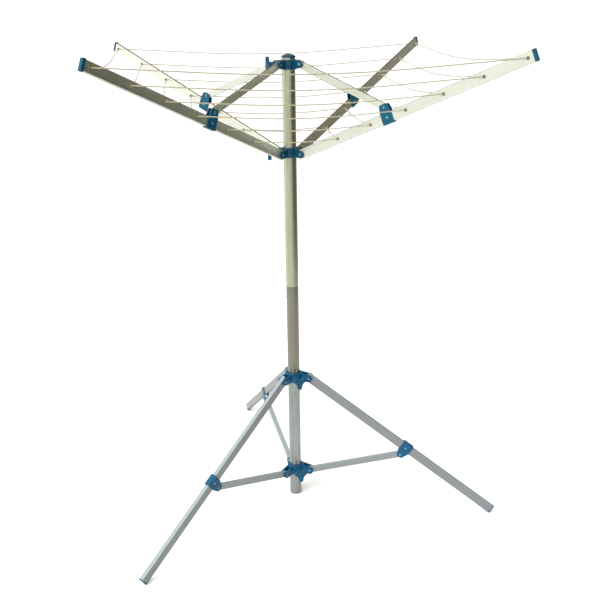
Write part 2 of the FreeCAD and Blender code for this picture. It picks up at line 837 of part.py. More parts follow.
def make_line_span(number):
    """The spans of line between an arm and the next one, one for each round."""
    spans = []
    section = value("line_radius")
    for i in range(LINE_ROUNDS):
        route = line_route(i)
        path = rounded_wire(route)
        ring = Part.Circle(route[0], V(0, 1, 0), section).toShape()
        tube = path.makePipeShell([Part.Wire([ring])], True, False)
        spans.append(Part.Solid(tube) if tube.ShapeType != "Solid" else tube)
        share = spans[-1].Volume / (math.pi * section ** 2 * path.Length)
        if number == 1:
            bends = [e.Curve.Radius for e in path.Edges if e.Curve.TypeId == "Part::GeomCircle"]
            print(f"line round {i + 1}: length {path.Length:.1f}, arcs "
                  + ", ".join(f"{bend:.1f}" for bend in bends) + f", volume share {share:.4f}")
        if abs(share - 1) > 0.01:
            raise RuntimeError(f"round {i + 1} of the line has the wrong volume")
    place = FreeCAD.Placement(V(0, 0, 0), FreeCAD.Rotation(V(0, 0, 1), 90 * (number - 1)))
    return group(f"line_span_{number}", spans, place)


# ---------------------------------------------------------------- assembly

def make_head():
    lower_gap = "(arm_thickness + 2 * ear_clearance)"
    upper_gap = "(strut_thickness + 2 * ear_clearance)"
    shared = {
        "radius": "hub_radius", "pivot": "hub_pivot_radius", "ear": "ear_thickness",
        "slot": "slot_depth_radius", "count": ARMS, "boss_turn": value("head_knob_azimuth"),
    }
    upper = make_hub("upper_hub", dict(
        shared, bore="pole_radius", below="upper_hub_below", above="upper_hub_above",
        round="upper_hub_round", gap=upper_gap))
    upper.Placement = at_azimuth(0, 0, value("upper_hub_level"))
    lower = make_hub("lower_hub", dict(
        shared, bore="pole_radius + slide_clearance", below="lower_hub_below",
        above="lower_hub_above", round="lower_hub_round", gap=lower_gap))
    lower.Placement = at_azimuth(0, 0, value("lower_hub_level"))
    for name in ("upper_hub", "lower_hub"):
        level = value(f"{name}_level + ({name}_above - {name}_below) / 2")
        make_knob(f"{name}_knob", value("head_knob_azimuth"), level, value(f"{name}_knob_turn"))

    pivot = value("hub_pivot_radius")
    full = rivet(value(f"{lower_gap} / 2 + ear_thickness"))
    inner = value(f"{upper_gap} / 2")
    outer = inner + value("ear_thickness")
    turns = [360 / ARMS * k for k in range(ARMS)]
    level = value("lower_hub_level")
    group("lower_hub_rivets", [moved(full, at_azimuth(a, pivot, level)) for a in turns])
    level = value("upper_hub_level")
    group("upper_hub_rivets", [
        moved(stub_rivet(inner, outer, way), at_azimuth(a, pivot, level))
        for a in turns for way in (-1, 1)
    ])

    fall = math.degrees(math.atan2(value(STRUT_DROP), value(STRUT_PIN_OUT)))
    grip = value("arm_thickness / 2 + arm_bracket_sheet")
    for k, azimuth in enumerate(turns, start=1):
        arm = at_azimuth(azimuth, pivot, value("lower_hub_level"), -value("arm_rise"))
        make_arm(k, arm)
        make_arm_cap(k, arm)
        make_arm_bracket(k, arm)
        at = value("arm_bracket_at")
        pins = [V(at, 0, 0), V(at, 0, value("strut_pin_offset"))]
        group(f"arm_{k}_rivets", [
            moved(rivet(grip), FreeCAD.Placement(p, FreeCAD.Rotation())) for p in pins], arm)
        group(f"arm_{k}_eyelets", [
            moved(eyelet(), FreeCAD.Placement(V(value(line_hole(i)), 0, 0), FreeCAD.Rotation()))
            for i in range(LINE_ROUNDS)], arm)
        make_strut(k, at_azimuth(azimuth, pivot, value("upper_hub_level"), fall))
        make_line_span(k)


def make_tripod():
    leg_gap = "(leg_thickness + 2 * ear_clearance)"
    brace_gap = "(brace_thickness + 2 * ear_clearance)"
    upper_level = value(UPPER_COLLAR_LEVEL)
    lower_level = value("lower_collar_level")
    turn = value("leg_azimuth")
    shared = {
        "bore": "pole_radius + slide_clearance", "radius": "collar_radius",
        "pivot": "collar_pivot_radius", "ear": "collar_ear_thickness",
        "slot": "collar_slot_radius", "count": LEGS, "boss_turn": 180,
    }
    upper = make_hub("upper_collar", dict(
        shared, below="upper_collar_below", above="upper_collar_above",
        round="upper_collar_round", gap=leg_gap))
    relief = new_sketch(upper, "YZ_Plane", value("stop_azimuth") - turn)
    reach = "stop_head_radius + 1"
    rectangle(relief, f"-({reach})", "-60", reach, "60")
    add_pocket(upper, relief, "pole_radius + stop_head_rise + 0.8", side="One side", reverse=True)
    upper.Placement = at_azimuth(turn, 0, upper_level)
    lower = make_hub("lower_collar", dict(
        shared, below="lower_collar_below", above="lower_collar_above",
        round="lower_collar_round", gap=brace_gap))
    lower.Placement = at_azimuth(turn, 0, lower_level)
    middle = upper_level + value("(upper_collar_above - upper_collar_below) / 2")
    make_knob("upper_collar_knob", turn + 180, middle)
    middle = lower_level + value("(lower_collar_above - lower_collar_below) / 2")
    make_knob("lower_collar_knob", turn + 180, middle)

    pivot = value("collar_pivot_radius")
    turns = [turn + 360 / LEGS * k for k in range(LEGS)]
    full = rivet(value(f"{leg_gap} / 2 + collar_ear_thickness"))
    inner = value(f"{brace_gap} / 2")
    outer = inner + value("collar_ear_thickness")
    group("upper_collar_rivets", [moved(full, at_azimuth(a, pivot, upper_level)) for a in turns])
    group("lower_collar_rivets", [
        moved(stub_rivet(inner, outer, way), at_azimuth(a, pivot, lower_level))
        for a in turns for way in (-1, 1)
    ])

    rise = math.degrees(math.atan2(value(BRACE_RISE), value(BRACE_PIN_OUT)))
    grip = value("leg_thickness / 2 + leg_bracket_sheet")
    for k, azimuth in enumerate(turns, start=1):
        leg = at_azimuth(azimuth, pivot, upper_level, value("leg_slope"))
        make_leg(k, leg)
        make_foot(k, leg)
        make_leg_bracket(k, leg)
        at = value("leg_bracket_at")
        pins = [moved(rivet(grip), FreeCAD.Placement(p, FreeCAD.Rotation()))
                for p in (V(at, 0, 0), V(at, 0, -value("brace_pin_offset")))]
        if k == 1:
            mark = FreeCAD.Placement(V(value("leg_mark_at"), 0, 0), FreeCAD.Rotation())
            pins.append(moved(rivet(value("leg_thickness / 2")), mark))
        group(f"leg_{k}_rivets", pins, leg)
        make_brace(k, at_azimuth(azimuth, pivot, lower_level, -rise))


def write_parts():
    """Checks every object, then writes one STEP file for each sub-part."""
    doc.recompute()
    for item in doc.Objects:
        if "Invalid" in item.State or "Error" in item.State:
            raise RuntimeError(f"{item.Label} ({item.Name}) is {item.State}")
    os.makedirs("parts", exist_ok=True)
    kinds = ("PartDesign::Body", "Part::Feature")
    for item in doc.Objects:
        if item.TypeId not in kinds:
            continue
        if item.Shape.isNull() or not item.Shape.isValid():
            raise RuntimeError(f"{item.Label} has no valid shape")
        item.Shape.exportStep(f"parts/{item.Label}.step")


make_lower_pole()
make_spigot()
make_spigot_rivet()
make_tube("upper_pole", "seam_level + seam_gap", "upper_hub_level + pole_above_hub")
make_pole_cap()
make_head()
make_tripod()
write_parts()
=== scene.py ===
"""Looks for the free-standing rotary clothesline: its line, its metal, its mouldings and a studio.

Metres throughout, in the model's own frame: origin on the ground at the pole's axis, +Z up,
arm 1 along +X and arm 2 along +Y.
"""

import math

import bmesh
import bpy
from mathutils import Matrix, Vector


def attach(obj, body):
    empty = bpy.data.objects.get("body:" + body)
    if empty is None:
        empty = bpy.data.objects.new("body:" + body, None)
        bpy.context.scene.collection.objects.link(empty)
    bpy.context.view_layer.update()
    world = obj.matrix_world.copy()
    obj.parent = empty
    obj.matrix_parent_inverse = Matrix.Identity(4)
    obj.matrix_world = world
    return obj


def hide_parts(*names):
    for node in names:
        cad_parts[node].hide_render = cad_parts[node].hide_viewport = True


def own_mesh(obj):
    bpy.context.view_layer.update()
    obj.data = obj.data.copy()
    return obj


bl_info = {
    "name": "Rotary Clothesline",
    "version": (1, 0, 0),
    "blender": (4, 5, 0),
    "location": "View3D > Sidebar > Clothesline",
    "description": "Dresses a folding rotary clothesline with its line, finishes and studio",
    "category": "Object",
}

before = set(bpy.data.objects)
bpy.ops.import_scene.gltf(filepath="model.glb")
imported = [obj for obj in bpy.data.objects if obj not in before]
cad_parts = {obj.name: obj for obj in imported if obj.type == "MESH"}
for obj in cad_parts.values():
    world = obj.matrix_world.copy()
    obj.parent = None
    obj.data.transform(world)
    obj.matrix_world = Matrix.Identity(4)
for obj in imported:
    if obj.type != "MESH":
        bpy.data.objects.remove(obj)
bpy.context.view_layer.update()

ARMS = 4
LEGS = 3
ROUNDS = 6
WHOLE_ROUNDS = 2
HUB_PIVOT = 0.045
LOWER_HUB_LEVEL = 1.206
UPPER_HUB_LEVEL = 1.471
ARM_RISE = math.radians(22.97)
STRUT_FALL = math.radians(20.26)
BRACE_RISE = math.radians(17.0)
UPPER_COLLAR_LEVEL = 0.4487
LOWER_COLLAR_LEVEL = 0.0946
LEG_PIVOT = 0.053
LEG_AZIMUTH = 54.94
LEG_SLOPE = math.radians(34.88)
HOLE_FIRST = 0.1487
HOLE_PITCH = 0.1227
LINE_KNEE = 0.0075
LINE_GAP = 0.0001
LINE_SAG = 0.0165
KNOT_ASIDE = -0.0082
KNOT_STEPS = 15
KNOT_LAY = 0.00034


def linear(code):
    """The linear colour of a six-digit code."""
    shares = [int(code[i:i + 2], 16) / 255 for i in (0, 2, 4)]
    return tuple(s / 12.92 if s <= 0.04045 else ((s + 0.055) / 1.055) ** 2.4 for s in shares)


# ------------------------------------------------------------------ sizes and colours

def colour_property(name, description, code):
    return bpy.props.FloatVectorProperty(
        name=name, description=description, subtype="COLOR", size=3, min=0.0, max=1.0,
        default=linear(code))


class LineSettings(bpy.types.PropertyGroup):
    """The washing line and its knots."""

    diameter: bpy.props.FloatProperty(
        name="Line diameter", description="Thickness of the washing line",
        default=0.003, min=0.0015, max=0.006, unit="LENGTH")
    sides: bpy.props.IntProperty(
        name="Sides", description="Number of sides of the line's round section",
        default=10, min=6, max=24)
    tail: bpy.props.FloatProperty(
        name="Knot tail", description="Length of the loose end at a knot",
        default=0.018, min=0.005, max=0.03, unit="LENGTH")
    colour: colour_property("Line colour", "Colour of the washing line", "aea88d")


class MetalSettings(bpy.types.PropertyGroup):
    """The aluminium tubes and the fasteners."""

    upper_pole: colour_property("Upper pole", "Champagne anodised upper tube", "a8aa93")
    lower_pole: colour_property("Lower pole", "Grey lower tube, above the tripod", "7d7c6f")
    pole_foot: colour_property("Pole foot", "Grey lower tube, down at the tripod", "8e9493")
    arm_face: colour_property("Arm face", "Broad faces of the arms and struts", "d2d5c8")
    # painted shade: the upper narrow faces of the arms and struts are painted dark brown
    arm_top: colour_property("Arm top", "Top faces of the arms and struts", "5c5138")
    leg_face: colour_property("Leg face", "Sides of the legs and braces", "797e7f")
    # painted light: the upper faces of the legs and braces are painted lighter than their sides
    leg_top: colour_property("Leg top", "Top faces of the legs and braces", "98a3a7")
    rivet: colour_property("Rivets", "Steel of the rivets", "70909f")
    eyelet: colour_property("Eyelets", "Flanged eyelets of the arms", "8b846a")


class MouldingSettings(bpy.types.PropertyGroup):
    """The plastic mouldings."""

    hub: colour_property("Hubs", "The two hubs and the pole's cap", "003a51")
    bracket: colour_property("Arm brackets", "Saddles on the arms", "004a62")
    stand: colour_property("Stand", "Collars and the legs' saddles", "004768")
    knob: colour_property("Knobs", "Clamp knobs", "004562")
    cap: colour_property("Arm caps", "Caps on the arms' ends", "00465c")
    foot: colour_property("Feet", "Plugs in the legs' ends", "004a66")


class StudioSettings(bpy.types.PropertyGroup):
    """The camera, the floor and the lights."""

    position: bpy.props.FloatVectorProperty(
        name="Camera position", description="Where the camera stands",
        default=(-2.0073, -1.5621, 1.6177), subtype="TRANSLATION", unit="LENGTH")
    lens: bpy.props.FloatProperty(
        name="Focal length", description="Focal length of the camera, in millimetres",
        default=49.19, min=10.0, max=300.0)
    turn: bpy.props.FloatProperty(
        name="Turn", description="How far the camera looks to the side of the pole",
        default=-0.0096, subtype="ANGLE", unit="ROTATION")
    pitch: bpy.props.FloatProperty(
        name="Pitch", description="How far the camera looks down",
        default=math.radians(19.37), subtype="ANGLE", unit="ROTATION")
    roll: bpy.props.FloatProperty(
        name="Roll", description="How far the camera leans",
        default=-0.0141, subtype="ANGLE", unit="ROTATION")
    floor: colour_property("Floor", "Colour of the studio floor", "f4f4f2")
    reach: bpy.props.FloatProperty(
        name="Floor reach", description="Radius of the studio floor",
        default=2.4, min=1.0, max=50.0, unit="LENGTH")
    key: bpy.props.FloatProperty(
        name="Key light", description="Strength of the large light at the left",
        default=2.2, min=0.0, max=20.0)
    fill: bpy.props.FloatProperty(
        name="Fill light", description="Strength of the light beside the camera",
        default=0.3, min=0.0, max=20.0)
    top: bpy.props.FloatProperty(
        name="Top light", description="Strength of the light overhead",
        default=1.1, min=0.0, max=20.0)
    sky: bpy.props.FloatProperty(
        name="Surround", description="Strength of the soft light from all round",
        default=0.8, min=0.0, max=5.0)


# ------------------------------------------------------------------ finishes

def add_node(tree, kind, inputs=None, **settings):
    """A node with its settings, and with each input linked or set."""
    made = tree.nodes.new(kind)
    for key, setting in settings.items():
        setattr(made, key, setting)
    for key, source in (inputs or {}).items():
        if isinstance(source, bpy.types.NodeSocket):
            tree.links.new(source, made.inputs[key])
        else:
            made.inputs[key].default_value = source
    return made


def new_finish(name, metallic, specular=0.5):
    material = bpy.data.materials.new(name)
    material.use_nodes = True
    shader = material.node_tree.nodes["Principled BSDF"]
    shader.inputs["Metallic"].default_value = metallic
    shader.inputs["Specular IOR Level"].default_value = specular
    return material, material.node_tree, shader


def grain(tree, vector, scale, detail=3.0, roughness=0.55):
    """Noise over a vector whose three axes are scaled apart."""
    stretched = add_node(tree, "ShaderNodeMapping", {"Vector": vector, "Scale": scale})
    noise = add_node(tree, "ShaderNodeTexNoise", {
        "Vector": stretched.outputs["Vector"], "Scale": 1.0, "Detail": detail,
        "Roughness": roughness})
    return noise.outputs["Fac"]


def between(tree, source, low, high, start=0.0, end=1.0):
    """Maps a value from low..high to start..end, smoothly."""
    made = add_node(tree, "ShaderNodeMapRange", {
        "Value": source, "From Min": low, "From Max": high, "To Min": start, "To Max": end},
        interpolation_type="SMOOTHSTEP")
    return made.outputs["Result"]


def tint(tree, share, first, second, blend="MIX"):
    """Colour that goes from first to second as share goes from 0 to 1."""
    made = add_node(tree, "ShaderNodeMix", data_type="RGBA", blend_type=blend)
    for index, source in ((0, share), (6, first), (7, second)):
        if isinstance(source, bpy.types.NodeSocket):
            tree.links.new(source, made.inputs[index])
        elif index == 0:
            made.inputs[index].default_value = source
        else:
            made.inputs[index].default_value = (*source, 1.0)
    return made.outputs[2]


def shaded(colour, share):
    return tuple(min(1.0, c * share) for c in colour)


def raise_surface(tree, shader, height, strength, distance, edge=0.0):
    """Bump, over a slight rounding of the sharp edges."""
    inputs = {"Height": height, "Strength": strength, "Distance": distance}
    if edge:
        inputs["Normal"] = add_node(tree, "ShaderNodeBevel", {"Radius": edge}).outputs["Normal"]
    bump = add_node(tree, "ShaderNodeBump", inputs)
    tree.links.new(bump.outputs["Normal"], shader.inputs["Normal"])


def extruded_metal(name, face, edge, top, place, roughness=0.32, metallic=0.92):
    """Drawn and anodised aluminium: fine die lines along the bar, soft mottling, faint scuffs,
    and painted shading on its narrow faces: the lower one painted in edge, a painted shade,
    and the upper one in top, a painted shade on the arms and struts, a painted light on the legs.
    place is the bar's pivot, azimuth and slope."""
    material, tree, shader = new_finish(name, metallic)
    pivot, azimuth, slope = place
    origin = add_node(tree, "ShaderNodeTexCoord")
    turn = (0.0, slope, azimuth)
    spot = add_node(tree, "ShaderNodeMapping", {
        "Vector": origin.outputs["Object"], "Location": pivot, "Rotation": turn},
        vector_type="TEXTURE").outputs["Vector"]
    facing = add_node(tree, "ShaderNodeMapping", {
        "Vector": origin.outputs["Normal"], "Rotation": turn},
        vector_type="TEXTURE").outputs["Vector"]
    lines = grain(tree, spot, (5.0, 950.0, 950.0))
    patches = grain(tree, spot, (7.0, 34.0, 34.0), detail=4.0)
    scuffs = between(tree, grain(tree, spot, (90.0, 40.0, 40.0), detail=5.0), 0.62, 0.76)
    colour = tint(tree, between(tree, lines, 0.3, 0.7), shaded(face, 0.95), shaded(face, 1.04))
    colour = tint(tree, between(tree, patches, 0.3, 0.75, 0.0, 0.4), colour, shaded(face, 0.86))
    upward = add_node(tree, "ShaderNodeSeparateXYZ", {"Vector": facing}).outputs["Z"]
    # painted shade: faces that turn downwards are painted towards edge, a darker copy of the face
    # colour
    lower_face_painted_shade = between(tree, upward, -0.92, -0.45, 0.85, 0.0)
    # painted shading: faces that turn upwards are painted towards top, darker on the arms and
    # struts, lighter on the legs and braces
    upper_face_painted_shading = between(tree, upward, 0.3, 0.78, 0.0, 0.95)
    colour = tint(tree, lower_face_painted_shade, colour, edge)
    colour = tint(tree, upper_face_painted_shading, colour, top)
    colour = tint(tree, between(tree, scuffs, 0.0, 1.0, 0.0, 0.6), colour, shaded(face, 1.06))
    tree.links.new(colour, shader.inputs["Base Color"])
    wear = add_node(tree, "ShaderNodeMath", {0: lines, 1: scuffs}, operation="ADD")
    dull = between(tree, wear.outputs["Value"], 0.2, 1.5, roughness - 0.03, roughness + 0.06)
    tree.links.new(dull, shader.inputs["Roughness"])
    raise_surface(tree, shader, wear.outputs["Value"], 0.015, 0.0001, edge=0.0006)
    return material


def drawn_tube(name, colour, roughness, foot=None):
    """A round drawn tube: fine upright lines, handling marks, and faint rings from sliding.
    foot is the colour it pales to below the tripod's upper collar."""
    material, tree, shader = new_finish(name, 0.88)
    spot = add_node(tree, "ShaderNodeTexCoord").outputs["Object"]
    lines = grain(tree, spot, (700.0, 700.0, 4.0))
    patches = grain(tree, spot, (22.0, 22.0, 6.0), detail=5.0)
    rings = between(tree, grain(tree, spot, (14.0, 14.0, 620.0), detail=2.0), 0.60, 0.75)
    base = tint(tree, between(tree, lines, 0.3, 0.7), shaded(colour, 0.85), shaded(colour, 1.06))
    if foot:
        height = add_node(tree, "ShaderNodeSeparateXYZ", {"Vector": spot}).outputs["Z"]
        base = tint(tree, between(tree, height, 0.5, 0.41), base, foot)
    base = tint(tree, between(tree, patches, 0.35, 0.75, 0.0, 0.45), base, shaded(colour, 0.75))
    base = tint(tree, rings, base, shaded(colour, 1.1))
    tree.links.new(base, shader.inputs["Base Color"])
    wear = add_node(tree, "ShaderNodeMath", {0: lines, 1: rings}, operation="ADD")
    dull = between(tree, wear.outputs["Value"], 0.2, 1.6, roughness - 0.06, roughness + 0.14)
    tree.links.new(dull, shader.inputs["Roughness"])
    raise_surface(tree, shader, wear.outputs["Value"], 0.02, 0.0001, edge=0.0004)
    return material


def moulded_plastic(name, colour, roughness=0.36, rounding=0.0011):
    """Injection-moulded plastic: a fine spark-eroded grain, flow marks and dusty scuffs."""
    material, tree, shader = new_finish(name, 0.0, specular=0.22)
    shader.inputs["Coat Weight"].default_value = 0.03
    shader.inputs["Coat Roughness"].default_value = 0.3
    spot = add_node(tree, "ShaderNodeTexCoord").outputs["Object"]
    skin = grain(tree, spot, (1500.0, 1500.0, 1500.0), detail=2.0)
    flow = grain(tree, spot, (40.0, 40.0, 90.0), detail=4.0)
    dust = between(tree, grain(tree, spot, (130.0, 130.0, 130.0), detail=7.0), 0.58, 0.78)
    base = tint(tree, between(tree, flow, 0.3, 0.7), shaded(colour, 0.78), shaded(colour, 1.15))
    pale = tuple(0.85 * c + 0.15 * g for c, g in zip(colour, (0.2, 0.45, 0.6)))
    base = tint(tree, between(tree, dust, 0.0, 1.0, 0.0, 0.25), base, pale)
    tree.links.new(base, shader.inputs["Base Color"])
    dull = add_node(tree, "ShaderNodeMath", {0: dust, 1: skin}, operation="ADD")
    rough = between(tree, dull.outputs["Value"], 0.2, 1.6, roughness - 0.06, roughness + 0.22)
    tree.links.new(rough, shader.inputs["Roughness"])
    raise_surface(tree, shader, skin, 0.25, 0.00012, edge=rounding)
    return material


def bright_steel(name, colour, roughness, metallic=1.0):
    """Plated steel or lacquered brass: fine tooling marks and a little tarnish."""
    material, tree, shader = new_finish(name, metallic)
    spot = add_node(tree, "ShaderNodeTexCoord").outputs["Object"]
    tooling = grain(tree, spot, (900.0, 900.0, 2400.0), detail=2.0)
    tarnish = grain(tree, spot, (160.0, 160.0, 160.0), detail=5.0)
    base = tint(tree, between(tree, tarnish, 0.35, 0.75), colour, shaded(colour, 0.62))
    tree.links.new(base, shader.inputs["Base Color"])
    dull = between(tree, tarnish, 0.3, 0.75, roughness - 0.05, roughness + 0.18)
    tree.links.new(dull, shader.inputs["Roughness"])
    raise_surface(tree, shader, tooling, 0.2, 0.00008, edge=0.0003)
    return material


def twisted_line(name, colour):
    """Plastic-coated cord: a slight twist of its strands shows, with painted shade in its hollows.
    """
    material, tree, shader = new_finish(name, 0.0, specular=0.4)
    shader.inputs["Sheen Weight"].default_value = 0.15
    shader.inputs["Sheen Roughness"].default_value = 0.5
    around = add_node(tree, "ShaderNodeTexCoord").outputs["UV"]
    lay = add_node(tree, "ShaderNodeMapping", {
        "Vector": around, "Rotation": (0.0, 0.0, 0.62)})
    strands = add_node(tree, "ShaderNodeTexWave", {
        "Vector": lay.outputs["Vector"], "Scale": 3.4, "Distortion": 0.6, "Detail": 1.5},
        wave_profile="SIN", bands_direction="Y").outputs["Fac"]
    spot = add_node(tree, "ShaderNodeTexCoord").outputs["Object"]
    soil = grain(tree, spot, (24.0, 24.0, 24.0), detail=5.0)
    # painted shade: the hollows between the strands are painted darker
    base = tint(tree, between(tree, strands, 0.0, 0.6), shaded(colour, 0.62), colour)
    base = tint(tree, between(tree, soil, 0.4, 0.75, 0.0, 0.35), base, shaded(colour, 0.7))
    tree.links.new(base, shader.inputs["Base Color"])
    tree.links.new(between(tree, soil, 0.3, 0.7, 0.5, 0.68), shader.inputs["Roughness"])
    raise_surface(tree, shader, strands, 0.5, 0.0003)
    return material


def dress(names, finish):
    """Gives a finish to nodes of the model."""
    for name in names:
        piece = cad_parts[name]
        if not piece.material_slots:
            piece.data.materials.append(finish)
        for holder in piece.material_slots:
            holder.material = finish


# ------------------------------------------------------------------ the washing line

def spline_points(route):
    """The points of the smooth spline that a route's points control."""
    data = bpy.data.curves.new("route", "CURVE")
    data.dimensions = "3D"
    data.resolution_u = 16
    spline = data.splines.new("NURBS")
    spline.points.add(len(route) - 1)
    for point, place in zip(spline.points, route):
        point.co = (*place, 1.0)
    spline.order_u = 3
    spline.use_endpoint_u = True
    guide = bpy.data.objects.new("route", data)
    bpy.context.scene.collection.objects.link(guide)
    bpy.context.view_layer.update()
    mesh = bpy.data.meshes.new_from_object(guide)
    points = [v.co.copy() for v in mesh.vertices]
    bpy.data.meshes.remove(mesh)
    bpy.data.objects.remove(guide)
    bpy.data.curves.remove(data)
    return points


def tube_mesh(name, points, radius, sides):
    """A round tube along the points, closed at both ends, with its length in millimetres
    across its texture map and its girth up it."""
    mesh = bmesh.new()
    texture = mesh.loops.layers.uv.new("UVMap")
    rings = []
    travelled = [0.0]
    for before, after in zip(points, points[1:]):
        travelled.append(travelled[-1] + (after - before).length)
    aside = None
    corners = [2 * math.pi * k / sides for k in range(sides)]
    for i, centre in enumerate(points):
        ahead = points[min(i + 1, len(points) - 1)] - points[max(i - 1, 0)]
        ahead.normalize()
        if aside is None:
            aside = ahead.cross(Vector((0.31, 0.2, 0.93))).normalized()
        aside = (aside - ahead * aside.dot(ahead)).normalized()
        over = ahead.cross(aside)
        rings.append([
            mesh.verts.new(centre + radius * (aside * math.cos(a) + over * math.sin(a)))
            for a in corners])
    for i, (near, far) in enumerate(zip(rings, rings[1:])):
        for k in range(sides):
            after = (k + 1) % sides
            face = mesh.faces.new((near[k], near[after], far[after], far[k]))
            face.smooth = True
            spots = ((i, k), (i, k + 1), (i + 1, k + 1), (i + 1, k))
            for loop, (along, girth) in zip(face.loops, spots):
                loop[texture].uv = (travelled[along] * 400.0, girth * 4.0 / sides)
    mesh.faces.new(list(reversed(rings[0])))
    mesh.faces.new(rings[-1])
    bmesh.ops.recalc_face_normals(mesh, faces=mesh.faces)
    data = bpy.data.meshes.new(name)
    mesh.to_mesh(data)
    mesh.free()
    piece = bpy.data.objects.new(name, data)
    bpy.context.scene.collection.objects.link(piece)
    return piece


def span_route(hole, turn):
    """The route of one span, from the eyelet of an arm to that of the next arm."""
    along = HOLE_FIRST + hole * HOLE_PITCH
    out = HUB_PIVOT + along * math.cos(ARM_RISE)
    level = LOWER_HUB_LEVEL + along * math.sin(ARM_RISE)
    middle = out / 2 + LINE_KNEE / 2
    low = level - 2 * LINE_SAG * out * math.sqrt(2)
    corners = (
        (out, LINE_GAP, level), (out, LINE_KNEE, level), (middle, middle, low),
        (LINE_KNEE, out, level), (LINE_GAP, out, level))
    spin = Matrix.Rotation(turn, 3, "Z")
    return [spin @ Vector(corner) for corner in corners]


def lay_cord(name, points, arm, replaced, settings, finish):
    piece = tube_mesh(name, points, settings.diameter / 2, settings.sides)
    piece.data.materials.append(finish)
    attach(piece, f"arm_{arm}")
    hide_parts(replaced)
    return piece


def gather_half(piece):
    """Gives half a span its own copy of its mesh."""
    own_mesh(piece)


def gather_whole(piece):
    """Gives a whole span its own copy of its mesh."""
    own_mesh(piece)


class CLOTHESLINE_OT_line(bpy.types.Operator):
    """Strings six rounds of line through the eyelets of the four arms"""

    bl_idname = "clothesline.line"
    bl_label = "Washing line"

    def execute(self, context):
        settings = context.scene.clothesline_line
        finish = twisted_line("line_cord_finish", tuple(settings.colour))
        for arm in range(1, ARMS + 1):
            turn = math.radians(90 * (arm - 1))
            after = arm % ARMS + 1
            replaced = f"line_span_{arm}"
            for hole in range(ROUNDS):
                points = spline_points(span_route(hole, turn))
                name = f"line_{arm}_{hole + 1}"
                if hole < WHOLE_ROUNDS:
                    piece = lay_cord(name, points, arm, replaced, settings, finish)
                    gather_whole(piece)
                    continue
                half = len(points) // 2
                middle = (points[half - 1] + points[half]) / 2
                near = points[:half] + [middle]
                far = list(reversed(points[half:])) + [middle]
                piece = lay_cord(f"{name}_near", near, arm, replaced, settings, finish)
                gather_half(piece)
                piece = lay_cord(f"{name}_far", far, after, replaced, settings, finish)
                gather_half(piece)
        return {"FINISHED"}


class CLOTHESLINE_OT_knots(bpy.types.Operator):
    """Ties the line off at each eyelet of the first arm, with a short loose end"""

    bl_idname = "clothesline.knots"
    bl_label = "Knots"

    def execute(self, context):
        settings = context.scene.clothesline_line
        finish = bpy.data.materials["line_cord_finish"]
        radius = settings.diameter / 2
        for hole in range(ROUNDS):
            along = HOLE_FIRST + hole * HOLE_PITCH
            out = HUB_PIVOT + along * math.cos(ARM_RISE)
            level = LOWER_HUB_LEVEL + along * math.sin(ARM_RISE)
            start = Vector((out, KNOT_ASIDE, level))
            route = []
            for step in range(KNOT_STEPS):
                angle = math.radians(45 * step + 40 * hole)
                wrap = 2 * radius * (1.0 + 0.06 * math.sin(step + hole))
                route.append(start + Vector((
                    wrap * math.cos(angle), -KNOT_LAY * step, wrap * math.sin(angle))))
            lean = math.sin(2.1 * hole)
            end = route[-1]
            for share, drop in ((0.3, 0.1), (0.65, 0.5), (1.0, 0.95)):
                route.append(end + Vector((
                    0.004 * lean * share, -0.006 * share - 0.002, -settings.tail * drop)))
            points = spline_points(route)
            piece = tube_mesh(f"line_knot_{hole + 1}", points, radius * 0.92, settings.sides)
            piece.data.materials.append(finish)
            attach(piece, "arm_1")
        return {"FINISHED"}


# ------------------------------------------------------------------ metal

def numbered(pattern, count):
    return [pattern.format(k) for k in range(1, count + 1)]


class CLOTHESLINE_OT_pole(bpy.types.Operator):
    """Finishes the two tubes of the pole and the spigot that joins them"""

    bl_idname = "clothesline.pole"
    bl_label = "Pole"

    def execute(self, context):
        settings = context.scene.clothesline_metal
        dress(["upper_pole"], drawn_tube("champagne_tube", tuple(settings.upper_pole), 0.34))
        dress(["lower_pole"], drawn_tube(
            "grey_tube", tuple(settings.lower_pole), 0.36, tuple(settings.pole_foot)))
        dress(["pole_spigot"], drawn_tube("spigot_tube", tuple(settings.lower_pole), 0.3))
        return {"FINISHED"}


class CLOTHESLINE_OT_arms(bpy.types.Operator):
    """Finishes the four arms and their struts"""

    bl_idname = "clothesline.arms"
    bl_label = "Arms and struts"

    def execute(self, context):
        settings = context.scene.clothesline_metal
        face = tuple(settings.arm_face)
        # painted shade: the upper faces are painted dark brown
        top = tuple(settings.arm_top)
        # painted shade: the undersides get a darker copy of the face colour
        low = shaded(face, 0.5)
        for k in range(1, ARMS + 1):
            azimuth = math.radians(90 * (k - 1))
            out = Vector((math.cos(azimuth), math.sin(azimuth), 0.0)) * HUB_PIVOT
            arm = (out + Vector((0, 0, LOWER_HUB_LEVEL)), azimuth, -ARM_RISE)
            strut = (out + Vector((0, 0, UPPER_HUB_LEVEL)), azimuth, STRUT_FALL)
            dress([f"arm_{k}"], extruded_metal(f"arm_{k}_metal", face, low, top, arm))
            dress([f"strut_{k}"], extruded_metal(f"strut_{k}_metal", face, low, top, strut))
        return {"FINISHED"}


